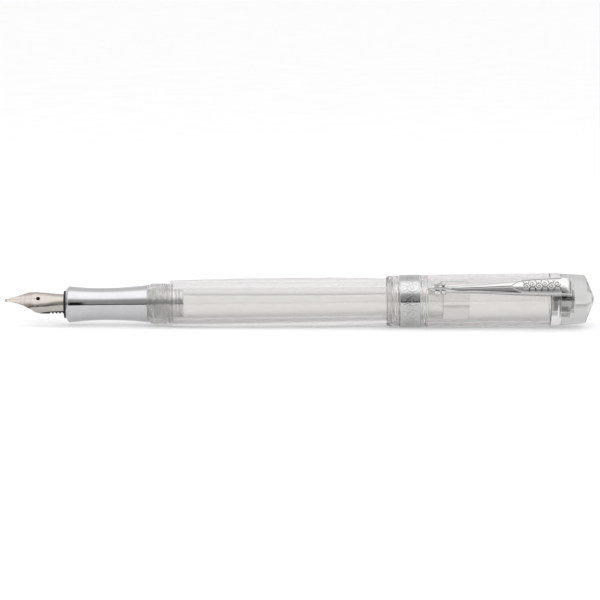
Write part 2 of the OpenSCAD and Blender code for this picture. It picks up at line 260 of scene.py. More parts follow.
def joined(name, pieces):
    """One mesh from several, with the first one's shading."""
    work = bmesh.new()
    for piece in pieces:
        work.from_mesh(piece.data)
    mesh = bpy.data.meshes.new(name)
    work.to_mesh(mesh)
    work.free()
    mesh.shade_smooth()
    mesh.set_sharp_from_angle(angle=math.radians(40))
    for piece in pieces:
        bpy.data.objects.remove(piece)
    return shaded(linked(name, mesh))


# ---------------------------------------------------------------- materials

class Graph:
    """Short ways to add nodes to the node tree of a material or a world."""

    def __init__(self, tree):
        self.nodes = tree.nodes
        self.links = tree.links

    def add(self, kind, **values):
        node = self.nodes.new(kind)
        for key, value in values.items():
            setattr(node, key, value)
        return node

    def put(self, socket, value):
        """Links another node's output to the socket, or sets the socket's own value."""
        if isinstance(value, bpy.types.NodeSocket):
            self.links.new(value, socket)
        else:
            socket.default_value = value

    def math(self, kind, *values):
        node = self.add("ShaderNodeMath", operation=kind)
        for socket, value in zip(node.inputs, values):
            self.put(socket, value)
        return node.outputs[0]

    def parts(self, vector):
        node = self.add("ShaderNodeSeparateXYZ")
        self.put(node.inputs[0], vector)
        return node.outputs

    def ramp(self, factor, stops):
        """Colours at places from 0 to 1 of the factor."""
        node = self.add("ShaderNodeValToRGB")
        elements = node.color_ramp.elements
        while len(elements) < len(stops):
            elements.new(0.5)
        for element, (place, colour) in zip(elements, stops):
            element.position = place
            element.color = (*colour, 1)
        self.put(node.inputs["Fac"], factor)
        return node.outputs["Color"]

    def between(self, factor, low, high, start=0.0, stop=1.0, kind="LINEAR"):
        """A number that goes from low to high as the factor goes from start to stop."""
        node = self.add("ShaderNodeMapRange", interpolation_type=kind)
        for name, value in (("Value", factor), ("From Min", start), ("From Max", stop),
                            ("To Min", low), ("To Max", high)):
            self.put(node.inputs[name], value)
        return node.outputs["Result"]

    def mixed(self, factor, a, b):
        """A colour that goes from a to b as the factor goes from 0 to 1."""
        node = self.add("ShaderNodeMix", data_type="RGBA")
        for name, value in (("Factor", factor), ("A", a), ("B", b)):
            self.put(node.inputs[name], value)
        return node.outputs["Result"]


class Look(Graph):
    """A material with a Principled shader and short ways to add procedural detail."""

    def __init__(self, name):
        self.material = bpy.data.materials.new(name)
        self.material.use_nodes = True
        super().__init__(self.material.node_tree)
        self.shader = self.nodes["Principled BSDF"]
        self.place = self.add("ShaderNodeTexCoord").outputs["Object"]

    def set(self, **values):
        for key, value in values.items():
            self.shader.inputs[key.replace("_", " ")].default_value = value
        return self

    def wire(self, value, socket):
        self.links.new(value, self.shader.inputs[socket])

    def stretched(self, x=1.0, y=1.0, z=1.0):
        """Object coordinates in millimetres, stretched along each axis."""
        mapping = self.add("ShaderNodeMapping")
        mapping.inputs["Scale"].default_value = (x / MM, y / MM, z / MM)
        self.links.new(self.place, mapping.inputs["Vector"])
        return mapping.outputs["Vector"]

    def noise(self, vector, detail=3.0):
        node = self.add("ShaderNodeTexNoise")
        node.inputs["Scale"].default_value = 1.0
        node.inputs["Detail"].default_value = detail
        node.inputs["Roughness"].default_value = 0.55
        self.links.new(vector, node.inputs["Vector"])
        return node.outputs["Fac"]

    def stained_and_shaded(self, colour, stain_and_shade):
        """The colour, going over to the darker colour where relief_and_shade marks the mesh:
        patina in engraved recesses, painted shade at the petals' lower rims.
        """
        # the attribute holds engraving depth, and painted shade at the petals' lower rims
        depth = self.add("ShaderNodeAttribute", attribute_name="relief_and_shade").outputs["Fac"]
        return self.mixed(depth, colour, (*stain_and_shade, 1))

    def bump(self, heights, distance):
        """Adds bump. A height of 1 stands for the distance, in millimetres."""
        node = self.add("ShaderNodeBump")
        node.inputs["Strength"].default_value = 1.0
        node.inputs["Distance"].default_value = distance * MM
        self.links.new(heights, node.inputs["Height"])
        self.wire(node.outputs["Normal"], "Normal")


def clear_plastic(name, light, dark, scuff, thin_from=None):
    """Polished clear acrylic: a faint tint, faint flow marks and hairline scuffs.
    Behind thin_from the wall is thinner and almost free of tint."""
    transmission = 0.93
    look = Look(name).set(Transmission_Weight=transmission, IOR=1.49)
    cloud = look.noise(look.stretched(0.05, 0.2, 0.2), 2.0)
    colour = look.ramp(cloud, [(0.3, dark), (0.7, light)])
    if thin_from is not None:
        along = look.parts(look.place)["X"]
        thin = look.between(along, 0, 1, thin_from * MM, (thin_from + 3) * MM)
        colour = look.mixed(thin, colour, (0.97, 0.965, 0.96, 1))
        look.wire(look.between(thin, transmission, 0.985), "Transmission Weight")
    look.wire(colour, "Base Color")
    hair = look.noise(look.stretched(0.35, 6, 6), 4.0)
    look.wire(look.between(hair, 0.0, scuff), "Roughness")
    return look.material


def chrome(name, bright, deep, patina_and_shade=None):
    """Mirror-polished plate with faint buffing lines. Engraved recesses can hold patina, and the
    clip's petals painted shade at their lower rims.
    """
    look = Look(name).set(Metallic=1.0)
    cloud = look.noise(look.stretched(0.4, 0.4, 0.4))
    colour = look.ramp(cloud, [(0.25, deep), (0.75, bright)])
    if patina_and_shade:
        colour = look.stained_and_shaded(colour, patina_and_shade)
    look.wire(colour, "Base Color")
    lines = look.noise(look.stretched(14, 0.5, 0.5), 2.0)
    look.wire(look.between(lines, 0.02, 0.09), "Roughness")
    look.bump(lines, 0.00012)
    return look.material


def machined(name, bright, deep, rough):
    """Turned metal with tool marks round its axis."""
    look = Look(name).set(Metallic=1.0)
    marks = look.noise(look.stretched(4, 0.15, 0.15), 2.0)
    look.wire(look.ramp(marks, [(0.36, deep), (0.64, bright)]), "Base Color")
    look.wire(look.between(marks, rough, rough + 0.14), "Roughness")
    look.bump(marks, 0.004)
    return look.material


def black_plastic(name):
    """Moulded black plastic with a fine grain."""
    look = Look(name).set(IOR=1.5, Specular_IOR_Level=0.1)
    grain = look.noise(look.stretched(3, 3, 3), 4.0)
    look.wire(look.ramp(grain, [(0.3, (0.008, 0.008, 0.009)), (0.7, (0.02, 0.02, 0.022))]),
              "Base Color")
    look.wire(look.between(grain, 0.22, 0.42), "Roughness")
    look.bump(grain, 0.01)
    return look.material


def nib_metal(name):
    """Warm polished steel, brushed along the nib, dark in its engraved lines."""
    look = Look(name).set(Metallic=1.0)
    brush = look.noise(look.stretched(0.8, 12, 12))
    colour = look.ramp(brush, [(0.25, (0.4, 0.375, 0.335)), (0.75, (0.46, 0.435, 0.395))])
    look.wire(look.stained_and_shaded(colour, (0.24, 0.225, 0.19)), "Base Color")
    look.wire(look.between(brush, 0.16, 0.26), "Roughness")
    look.bump(brush, 0.001)
    return look.material


TINT = ((0.85, 0.837, 0.824), (0.838, 0.825, 0.811))       # lightest and deepest
# patina for engraved recesses, also used as painted shade at the lower rims of the clip's petals
PATINA_AND_SHADE = (0.15, 0.148, 0.14)
CLEAR = clear_plastic("clear plastic", *TINT, 0.012)
CLEAR_BARREL = clear_plastic("clear barrel", *TINT, 0.012, thin_from=LIP)
CLEAR_END = clear_plastic("clear plastic end", (0.63, 0.635, 0.615), (0.61, 0.615, 0.595), 0.04)
SEAL = clear_plastic("clear seal", (0.96, 0.96, 0.955), (0.93, 0.93, 0.925), 0.25)
CHROME = chrome("chrome", (0.515, 0.513, 0.526), (0.485, 0.483, 0.496))
BAND_CHROME = chrome("band chrome", (0.5, 0.5, 0.492), (0.475, 0.475, 0.467), PATINA_AND_SHADE)
ENGRAVED = chrome("engraved chrome", (0.56, 0.56, 0.545), (0.53, 0.53, 0.515), PATINA_AND_SHADE)
PLATED = machined("plated brass", (0.72, 0.72, 0.71), (0.4, 0.4, 0.395), 0.1)
TURNED = machined("turned bush", (0.42, 0.42, 0.41), (0.1, 0.1, 0.1), 0.15)
STEEL = machined("machined steel", (0.16, 0.16, 0.155), (0.08, 0.08, 0.078), 0.22)
NIB_STEEL = nib_metal("nib steel")
TIPPING = machined("tipping", (0.42, 0.41, 0.4), (0.3, 0.29, 0.28), 0.25)
BLACK = black_plastic("black plastic")


def place(piece, body, material, slot, *nodes):
    """Gives a piece its material and body, and hides the CAD nodes that it stands for."""
    piece.data.materials.clear()
    piece.data.materials.append(material)
    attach(piece, body)
    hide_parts(*nodes)


# ---------------------------------------------------------------- barrel

def make_barrel():
    """One closed skin: the outside from front to back, then the bore from back to front."""
    core = 5.25                 # between the ridges of the cap's thread
    crest = 5.6
    thread_start = BARREL_FRONT + 0.5
    thread_end = thread_start + 7 * CAP_PITCH
    shoulder = thread_end + 0.5
    shoulder_r = 6.1
    post = LIP + 0.35           # the step that the posted cap's lip meets
    post_r = 6.05
    tail_r = CAP_THREAD_R - 0.05
    bore_start = -30.3
    belly = smooth_curve(
        [(shoulder + 0.6, shoulder_r), (-28, 6.2), (-22, 6.35), (-16, 6.45),
         (-BELLY_HALF, BELLY_R), (0, BELLY_R), (BELLY_HALF, BELLY_R), (16, 6.42), (24, 6.19),
         (post, post_r)], 0.5)
    front = rounded([(BARREL_FRONT, 4.1), (BARREL_FRONT, 5, 0.12), (thread_start, core - 0.1),
                     (thread_start, core)], 0.04)
    rows = front[:-1]
    rows += thread_rows(thread_start, thread_end, CAP_PITCH, core, crest)
    rows += rounded([(thread_end + 0.05, core), (shoulder, core, 0.15),
                     (shoulder + 0.2, 6, 0.12), (shoulder + 0.6, shoulder_r, 0.2)], 0.1)[:-1]
    rows += belly[:-1]
    rows += rounded([(post, post_r), (post + 0.1, 6.03, 0.15), (post + 0.8, tail_r, 0.3),
                     (34, tail_r - 0.02), (42, tail_r - 0.07), (BARREL_END, tail_r - 0.12, 0.9),
                     (BARREL_END, 3), (BARREL_END, 0)], 0.15, 10)
    taper = (BORE_R - BORE_END_R) / (BORE_END - bore_start)
    rows += rounded([(BORE_END, 0), (BORE_END, 2), (BORE_END, BORE_END_R, 0.3)]
                    + [(x, BORE_R - taper * (x - bore_start)) for x in range(36, -30, -6)]
                    + [(bore_start + 0.4, BORE_R, 0.05), (bore_start + 0.1, 4.06, 0.05)])
    rows += reversed(thread_rows(BARREL_FRONT + 0.3, bore_start - 0.1, SECTION_PITCH, 4.05, 4.17))
    rows.append((BARREL_FRONT + 0.1, 4.06))
    return lathe("barrel_clear", rows, 224)


place(make_barrel(), "barrel", CLEAR_BARREL, "clear_plastic", "barrel")


# ---------------------------------------------------------------- section

def make_seal():
    front, back = ends("seal_ring")
    outer = radius("seal_ring")
    profile = rounded([(front, 4.3), (front, 4.06, 0.03), (back, 4.06, 0.03), (back, 4.5),
                       (back, outer, 0.12), (front, outer, 0.12), (front, 4.3)], 0.05)
    return lathe("seal_ring_clear", profile[:-1])


def make_shell():
    """The concave grip: two flares that meet at the waist, with a rounded nose."""
    start = SHELL_FRONT + 1.1
    waist_x = -48.8
    waist_r = 4.3
    front_r = 4.88
    front_flare = (front_r - waist_r) / (waist_x - start) ** 2
    back_flare = (SHELL_BACK_R - waist_r) / (SHELL_BACK - waist_x) ** 2
    side = []
    steps = 90
    for i in range(1, steps):
        x = start + (SHELL_BACK - start) * i / steps
        flare = front_flare if x < waist_x else back_flare
        side.append((x, waist_r + flare * (x - waist_x) ** 2))
    nose = rounded([(SHELL_FRONT + 0.5, 3.57), (SHELL_FRONT, 3.57, 0.03),
                    (SHELL_FRONT, 3.78, 0.12), (SHELL_FRONT + 0.35, 4.35, 0.3),
                    (SHELL_FRONT + 0.75, front_r - 0.08, 0.35), (start, front_r, 0.3), side[0]],
                   0.1, 6)
    back = rounded([side[-1], (SHELL_BACK, SHELL_BACK_R, 0.08), (SHELL_BACK, 4, 0.04),
                    (SHELL_BACK - 1, 4)], 0.05)
    inner = [(LINER_END, 4.0), (LINER_END, 3.57)]
    return lathe("section_shell_chrome", nose[:-1] + side[:-1] + back + inner, 256)


def make_tail():
    """The threaded tail with a groove halfway and a plain ring at its end."""
    groove = -33.2
    core = TAIL_R - 0.24
    plain = -30.3
    rows = rounded([(TAIL_FRONT, 3.72), (TAIL_FRONT, 3.97), (SHELL_BACK, 3.97, 0.02),
                    (SHELL_BACK + 0.05, core)], 0.05)
    rows += thread_rows(SHELL_BACK + 0.1, groove, SECTION_PITCH, core, TAIL_R)
    rows += rounded([(groove + 0.02, core), (groove + 0.05, core - 0.08),
                     (groove + 0.3, core - 0.08), (groove + 0.33, core)], 0.03)
    rows += thread_rows(groove + 0.35, plain, SECTION_PITCH, core, TAIL_R)
    rows += rounded([(plain + 0.02, core), (plain + 0.05, core - 0.08),
                     (plain + 0.3, core - 0.08), (plain + 0.33, core), (TAIL_END, core, 0.15),
                     (TAIL_END, 3.71, 0.04), (TAIL_END - 2, 3.71)], 0.03)
    return lathe("section_tail_metal", rows, 224)


def make_liner():
    profile = rounded([(LINER_FRONT + 1, 3.27), (LINER_FRONT, 3.27, 0.08),
                       (LINER_FRONT, 3.68, 0.14), (SHELL_FRONT, 3.68, 0.03),
                       (SHELL_FRONT, 3.55, 0.03), (LINER_END, 3.55), (LINER_END, 3.27)], 0.06)
    return lathe("section_liner_black", profile)


def make_housing():
    nipple = HOUSING_END
    body_end = nipple - 4.5
    seat_end = -50.0            # where the feed's inner end stops
    profile = rounded([(HOUSING_FRONT + 1, 2.87), (HOUSING_FRONT, 2.87, 0.1),
                       (HOUSING_FRONT, 3.25, 0.1), (body_end, 3.25, 0.2), (body_end, 2.1),
                       (nipple - 3.2, 1.9, 0.2), (nipple - 3, 1.2, 0.1),
                       (nipple - 0.3, 1.2, 0.1), (nipple, 0.95, 0.05), (nipple, 0.6, 0.05),
                       (seat_end + 1, 0.6), (seat_end + 1, 1.6), (seat_end, 1.6),
                       (seat_end, 2.87)], 0.08)
    return lathe("nib_housing_black", profile, 128)


place(make_seal(), "seal", SEAL, "clear_seal", "seal_ring")
place(make_shell(), "grip", CHROME, "chrome", "section_shell")
place(make_tail(), "grip", PLATED, "plated_brass", "section_tail")
place(make_liner(), "grip", BLACK, "black_plastic", "section_liner")
place(make_housing(), "grip", BLACK, "black_plastic", "nib_housing")


# ---------------------------------------------------------------- nib

NIB_T = 0.27
BREATHER_X = -66.0
BREATHER_R = 0.56
SLIT = 0.05

# The sheet's half section at places along the nib, drawn as a curve with two handles:
# x, height of the middle, reach of the flat middle, bend across and up, edge across and up
NIB_STATIONS = [
    (-74.55, 2.61, 0.1, 0.2, 2.6, 0.3, 2.59), (-73.4, 2.64, 0.25, 0.45, 2.62, 0.66, 2.58),
    (-71.9, 2.68, 0.4, 0.75, 2.63, 1.1, 2.53), (-69.9, 2.8, 0.7, 1.3, 2.67, 1.88, 2.44),
    (-68.9, 2.9, 0.9, 1.65, 2.66, 2.36, 2.28), (-67.7, 2.98, 1.8, 2.6, 2.33, 2.86, 1.8),
    (-66.5, 2.98, 2.4, 3.1, 2.25, 3.02, 0.68), (-66, 2.96, 2.3, 3.05, 2.2, 3.02, 0.52),
    (-64.2, 2.91, 1.9, 2.85, 2.2, 2.94, 0.85), (-61.7, 2.87, 1.4, 2.48, 2.1, 2.77, 0.88),
    (-60, 2.85, 1.235, 2.329, 2.055, 2.71, 0.88), (NIB_END, 2.85, 1.235, 2.329, 2.055, 2.71, 0.88),
]


def nib_place(station, t, inset):
    """Across and up of the half section at t, 0 at the middle and 1 at the edge."""
    _, top, flat, bend_y, bend_z, edge_y, edge_z = station
    points = [Vector(p) for p in ((0, top), (flat, top), (bend_y, bend_z), (edge_y, edge_z))]
    u = 1 - t
    p = (u ** 3 * points[0] + 3 * u * u * t * points[1] + 3 * u * t * t * points[2]
         + t ** 3 * points[3])
    along = (u * u * (points[1] - points[0]) + 2 * u * t * (points[2] - points[1])
             + t * t * (points[3] - points[2])).normalized()
    return p.x + inset * along.y, p.y - inset * along.x


def nib_start(station, gap):
    """Where on the half section its distance across equals gap."""
    low, high = 0.0, 1.0
    for _ in range(24):
        middle = (low + high) / 2
        if nib_place(station, middle, 0)[0] < gap:
            low = middle
        else:
            high = middle
    return high


def nib_lines():
    """Centre lines of the engraving on one half of the nib, as (x, distance across) points."""
    lines = []
    # two rows of small arches that follow the outline between the shoulders and the slit
    for start, size in ((-70.4, 0.42), (-69.3, 0.5)):
        for k in range(3):
            arch = []
            for i in range(30):
                a = math.pi * i / 29
                across = 0.28 + size * (k + 0.5 - 0.5 * math.cos(a))
                arch.append((start - size * math.sin(a), across))
            lines.append(arch)
    lines.append([(-67.9, 0.2 + 1.6 * i / 30) for i in range(31)])
    return lines


def nearest_line(lines):
    """A function that gives the distance from (x, y) to the nearest of some drawn lines."""
    points = [p for line in lines for p in line]
    tree = KDTree(len(points))
    for i, p in enumerate(points):
        tree.insert((p[0], p[1], 0), i)
    tree.balance()
    return lambda x, y: tree.find((x, y, 0))[2]


def make_nib():
    """The sheet is two mirrored halves that part at the slit and the breather hole."""
    across = 40
    line_width = 0.07
    line_depth = 0.015
    stations = smooth_curve(NIB_STATIONS, 0.11)
    # extra stations close to the ends of the hole keep its outline round
    hole = [BREATHER_X - BREATHER_R * math.cos(math.pi * i / 24) for i in range(25)]
    away = [s[0] for s in stations if abs(s[0] - BREATHER_X) > BREATHER_R + 0.02]
    distance = nearest_line(nib_lines())
    vertices, faces, relief_and_shade = [], [], []

    def station(x):
        for a, b in zip(stations, stations[1:]):
            if a[0] <= x <= b[0]:
                t = (x - a[0]) / (b[0] - a[0])
                return tuple(p + (q - p) * t for p, q in zip(a, b))
        return stations[-1]

    rows = []
    for x in sorted(away + hole):
        gap = SLIT / 2 if x < BREATHER_X else 0
        if abs(x - BREATHER_X) < BREATHER_R:
            gap = max(gap, math.sqrt(BREATHER_R ** 2 - (x - BREATHER_X) ** 2))
        here = station(x)
        rows.append((x, here, nib_start(here, gap) if gap else 0))

    def add(x, here, t, side, inner):
        y, z = nib_place(here, t, NIB_T if inner else 0)
        cut = 0 if inner else math.exp(-(distance(x, y) / line_width) ** 2)
        relief_and_shade.append(cut * 0.5)
        vertices.append((x, side * y, z - line_depth * cut))

    for side in (1, -1):
        rings = []
        for x, here, t0 in rows:
            start = len(vertices)
            spread = [t0 + (1 - t0) * j / across for j in range(across + 1)]
            for t in spread:
                add(x, here, t, side, False)
            for t in reversed(spread):
                add(x, here, t, side, True)
            rings.append(range(start, len(vertices)))
        size = len(rings[0])
        for ring, following, row in zip(rings, rings[1:], rows):
            strip = quads(ring, following)
            if row[0] >= BREATHER_X + BREATHER_R:
                strip.pop()         # behind the hole the halves meet without a wall
            faces += strip
        for ring in (rings[0], rings[-1]):
            for j in range(size // 2 - 1):
                faces.append((ring[j], ring[j + 1], ring[size - 2 - j], ring[size - 1 - j]))
    piece = finish_mesh("nib_steel", vertices, faces, 42, relief_and_shade, weld=True)
    return turned_to(piece, NIB_TURN)


def make_tipping():
    """A ground pellet: a ball flattened where it writes, split by the slit."""
    reach = 0.41
    centre = Vector((NIB_TIP + 0.42, 0, 2.25))
    vertices, faces = [], []
    rows, columns = 20, 32
    for side in (1, -1):
        start = len(vertices)
        for i in range(rows + 1):
            polar = math.pi * i / rows
            for j in range(columns // 2 + 1):
                a = math.pi * j / (columns // 2)
                x = -reach * math.cos(polar)
                y = side * max(SLIT / 2, reach * math.sin(polar) * math.sin(a))
                z = reach * 0.92 * math.sin(polar) * math.cos(a)
                if x > 0.08:
                    z = min(z, -0.11 - (x - 0.08) * 0.25)
                vertices.append(tuple(centre + Vector((x, y, max(z, -0.3)))))
        width = columns // 2 + 1
        for i in range(rows):
            for j in range(width - 1):
                a = start + i * width + j
                faces.append((a, a + 1, a + width + 1, a + width))
            a = start + i * width
            b = a + width - 1
            faces.append((a, a + width, b + width, b))
    piece = finish_mesh("nib_tipping_metal", vertices, faces, 50)
    return turned_to(piece, NIB_TURN)


place(make_nib(), "nib_unit", NIB_STEEL, "nib_steel", "nib")
place(make_tipping(), "nib_unit", TIPPING, "tipping", "nib_tipping")


# ---------------------------------------------------------------- cap

def make_cap_tube():
    seat = 6.8
    thread_start = 28.9
    thread_end = thread_start + 8.9
    end_round = 0.35
    lip_r = 6.35
    lip_length = 1.5
    quarter = [math.pi / 2 * i / 10 for i in range(1, 11)]
    lip = [(LIP + lip_length * (1 - math.cos(a)), lip_r + (seat - lip_r) * math.sin(a))
           for a in quarter]
    outside = smooth_curve([(37.5, 6.92), (43, 7.03), (50, CAP_R), (60, CAP_R), (71, CAP_R)],
                           0.6)
    rows = rounded([(LIP + 0.2, 6.17), (LIP, 6.19, 0.05), (LIP, lip_r, 0.08), lip[0]], 0.05)[:-1]
    rows += lip
    rows += rounded([(BAND_BACK - 0.2, seat), (BAND_BACK, seat, 0.02), (BAND_BACK, 6.88, 0.04),
                     outside[0]], 0.04)[:-1]
    rows += outside
    rows += rounded([(SEAM - 0.5, 7.01), (SEAM, 6.93, 0.1), (SEAM, RECESS_R, 0.05),
                     (BUSH_FRONT, RECESS_R, 0.05), (BUSH_FRONT, SCREW_R, 0.05),
                     (NUT_BACK, SCREW_R, 0.05), (NUT_BACK, NUT_R + 0.02, 0.05),
                     (CAP_WALL, NUT_R + 0.02, 0.05), (CAP_WALL, CAP_BORE_R - end_round)], 0.05)
    rows += [(CAP_WALL - end_round * (1 - math.cos(a)), CAP_BORE_R - end_round * (1 - math.sin(a)))
             for a in quarter]
    rows += rounded([(60, CAP_BORE_R), (48, CAP_BORE_R), (thread_end + 0.3, CAP_BORE_R, 0.1),
                     (thread_end + 0.1, CAP_THREAD_R)], 0.05)
    rows += reversed(thread_rows(thread_start, thread_end, CAP_PITCH,
                                 CAP_THREAD_R, CAP_THREAD_R + 0.24))
    rows += rounded([(thread_start - 0.05, CAP_THREAD_R), (thread_start - 0.35, 6.14, 0.1),
                     (LIP + 0.4, 6.14, 0.1)], 0.1)
    return lathe("cap_tube_clear", rows, 224)


def scroll_lines(length, half, count):
    """A running scroll along x from 0 to length: a wavy stem with a curl in each bend."""
    lines = []
    stem = []
    for i in range(count * 40 + 1):
        x = length * i / (count * 40)
        stem.append((x, 0.42 * half * math.sin(math.pi * count * x / length)))
    lines.append(stem)
    for n in range(count):
        up = 1 if n % 2 == 0 else -1
        cx = length * (n + 0.5) / count
        cy = -up * 0.18 * half
        size = min(0.62 * half, 0.46 * length / count)
        curl = []
        for i in range(60):
            t = i / 59
            a = up * (math.pi / 2 + t * TAU * 1.25)
            reach = size * (1 - 0.85 * t)
            curl.append((cx + reach * math.cos(a), cy + reach * math.sin(a)))
        lines.append(curl)
        # small leaves that leave the stem between the curls
        for k in (-1, 1):
            leaf = []
            for i in range(16):
                t = i / 15
                leaf.append((cx + k * (0.3 + 0.22 * t) * length / count,
                             up * (0.3 + 0.6 * t) * half))
            lines.append(leaf)
    return lines


def make_band():
    """The band's field carries a scroll that runs round it between two plain beads."""
    width = BAND_BACK - BAND_FRONT
    bead = 0.4
    repeats = 6
    circumference = TAU * BAND_R
    unit = circumference / repeats
    field_half = width / 2 - bead - 0.1
    distance = nearest_line(scroll_lines(unit, field_half, 4))
    middle = (BAND_FRONT + BAND_BACK) / 2
    around = 760
    steps = 64
    field_r = BAND_R - 0.06
    line_width = 0.06
    line_depth = 0.02
    field = []
    for i in range(steps + 1):
        x = middle + field_half * (2 * i / steps - 1)
        edge = min(1, (field_half - abs(x - middle)) / 0.1)

        def reach(t, x=x, edge=edge):
            along = (t / TAU * circumference) % unit
            line = math.exp(-(distance(along, x - middle) / line_width) ** 2)
            return field_r - line_depth * line * edge

        field.append((x, reach))
    rows = rounded([(BAND_FRONT, 6.9), (BAND_FRONT, BAND_R - 0.06, 0.05),
                    (BAND_FRONT + 0.1, BAND_R, 0.08), (BAND_FRONT + bead, BAND_R, 0.05),
                    (field[0][0] - 0.02, BAND_R - 0.07, 0.04)], 0.05)
    rows += field
    rows += rounded([(field[-1][0] + 0.02, BAND_R - 0.07, 0.04), (BAND_BACK - bead, BAND_R, 0.05),
                     (BAND_BACK - 0.1, BAND_R, 0.08), (BAND_BACK, BAND_R - 0.06, 0.05),
                     (BAND_BACK, 6.82), (BAND_FRONT, 6.82)], 0.05)
    piece = lathe("cap_band_engraved", rows, around, sharp=60)
    relief_and_shade = []
    for v in piece.data.vertices:
        r = math.hypot(v.co.y, v.co.z) / MM
        inside = abs(v.co.x / MM - middle) < field_half and r > 6.9
        relief_and_shade.append(max(0, min(1, (field_r - r) / 0.03)) if inside else 0)
    layer = piece.data.attributes.new("relief_and_shade", "FLOAT", "POINT")
    layer.data.foreach_set("value", relief_and_shade)
    return piece


def make_finial():
    foot_back = BUSH_BACK + 0.82
    rows = rounded([(SEAM, RECESS_R, 0.05), (SEAM, FINIAL_R, 0.12), (79.6, 6.57, 0.2),
                    (80.15, 6.45, 0.3), (80.5, 6.1, 0.3), (POINT_HEAD, 1.8, 0.03),
                    (POINT_HEAD, 0.82, 0.03), (POINT_FRONT - 0.2, 0.82, 0.05),
                    (POINT_FRONT - 0.2, 0)], 0.06, 6)
    inner = rounded([(77.3, 0), (77.3, 2.4, 0.1), (77.1, 2.6, 0.1), (foot_back, 2.6, 0.05),
                     (foot_back, RECESS_R, 0.05), (SEAM, RECESS_R, 0.05)], 0.05)
    body = lathe("finial_clear", rows + inner[:-1], 224)
    # the slot for the clip's head is cut out, open towards the seam
    slot_half = 2.73
    low, high = 2.0, 9.0
    back = CLIP_HEAD + 0.15
    cutter_mesh = bpy.data.meshes.new("slot cutter")
    corners = [(x, y, z) for x in (SEAM - 1, back) for y in (-slot_half, slot_half)
               for z in (low, high)]
    cutter_mesh.from_pydata([[c * MM for c in p] for p in corners], [],
                            [(0, 1, 3, 2), (4, 6, 7, 5), (0, 4, 5, 1), (2, 3, 7, 6),
                             (0, 2, 6, 4), (1, 5, 7, 3)])
    cutter = turned_to(linked("slot cutter", cutter_mesh), CLIP_TURN)
    cut = body.modifiers.new("slot", "BOOLEAN")
    cut.operation = "DIFFERENCE"
    cut.solver = "EXACT"
    cut.object = cutter
    bpy.context.view_layer.update()
    shape = bpy.data.meshes.new_from_object(body.evaluated_get(
        bpy.context.evaluated_depsgraph_get()))
    body.modifiers.clear()
    body.data = shape
    bpy.data.objects.remove(cutter)
    shape.set_sharp_from_angle(angle=math.radians(30))
    return shaded(body)


def make_point():
    rows = rounded([(POINT_FRONT, 0), (POINT_FRONT, 0.8, 0.05), (POINT_HEAD, 0.8, 0.03),
                    (POINT_HEAD, 1.78, 0.04), (POINT_TIP - 0.1, 0.45, 0.15),
                    (POINT_TIP, 0)], 0.06, 6)
    return lathe("finial_point_metal", rows, 96, loop=False)


place(make_cap_tube(), "cap", CLEAR, "clear_plastic", "cap_tube")
place(make_band(), "cap", BAND_CHROME, "engraved_chrome", "cap_band")
place(make_finial(), "cap", CLEAR_END, "clear_plastic", "finial")
place(make_point(), "cap", CHROME, "chrome", "finial_jewel")


# ---------------------------------------------------------------- clip and its fasteners

LEAF_END = 43.6             # where the leaf-shaped tip goes over into the blade
# x, height of the clip's crown, height of the fold at its sides, and half its width
CLIP_STATIONS = [
    (CLIP_TIP + 0.02, 7.45, 7.4, 0.05), (38.3, 7.75, 7.42, 0.42), (39.2, 8.02, 7.42, 0.75),
    (40.6, 8.08, 7.42, 0.95), (42.2, 7.95, 7.42, 0.9), (LEAF_END, 7.78, 7.4, 1.0),
    (45.5, 7.74, 7.42, 1.14), (50, 7.93, 7.54, 1.34), (55, 8.28, 7.82, 1.64),
    (60, 8.68, 8.15, 1.94), (66, 9.08, 8.5, 2.27), (71, 9.18, 8.58, 2.47),
    (74, 9.13, 8.68, 2.47), (75, 8.93, 8.55, 2.47), (75.7, 8.5, 8.2, 2.47),
    (76.05, 7.9, 7.7, 2.47), (CLIP_HEAD - 0.01, 7.5, 7.35, 2.46),
]
CLIP_EDGE = 7.21            # height of the clip's lower edges
FIELD_FRONT = 60.2          # point of the pointed arch that holds the engraving
FIELD_BACK = 73.4


def field_half(x, width):
    """Half the width of the engraved field at x; 0 outside it."""
    if not FIELD_FRONT < x < FIELD_BACK:
        return 0
    t = min(1, (x - FIELD_FRONT) / 3.4)
    return (width - 0.42) * math.sin(t * math.pi / 2) ** 0.8


def clip_section(crown, fold, half, top_columns, side_columns, bottom_columns):
    """Closed section of the folded sheet, as (across, up, whether it is on the top)."""
    edge = min(0.32, half * 0.4)
    flat = half - edge
    round_up = min(0.32, (fold - CLIP_EDGE) * 0.45)
    points = []
    for j in range(top_columns + 1):
        v = 2 * j / top_columns - 1
        points.append((v * flat, crown - (crown - fold) * abs(v) ** 1.8, True))
    for j in range(1, side_columns + 1):
        a = math.pi / 2 * (1 - j / side_columns)
        points.append((flat + edge * math.cos(a), fold - round_up * (1 - math.sin(a)), False))
    wall = max(half - 0.42, half * 0.3)
    roof = max(CLIP_EDGE + 0.02, crown - 0.62)
    points.append((half, CLIP_EDGE, False))
    points.append((wall, CLIP_EDGE, False))
    for j in range(bottom_columns + 1):
        v = 1 - 2 * j / bottom_columns
        points.append((v * wall * 0.96, roof - (roof - CLIP_EDGE) * 0.3 * v * v, False))
    points.append((-wall, CLIP_EDGE, False))
    points.append((-half, CLIP_EDGE, False))
    for j in range(side_columns, 0, -1):
        a = math.pi / 2 * (1 - j / side_columns)
        points.append((-flat - edge * math.cos(a), fold - round_up * (1 - math.sin(a)), False))
    return points


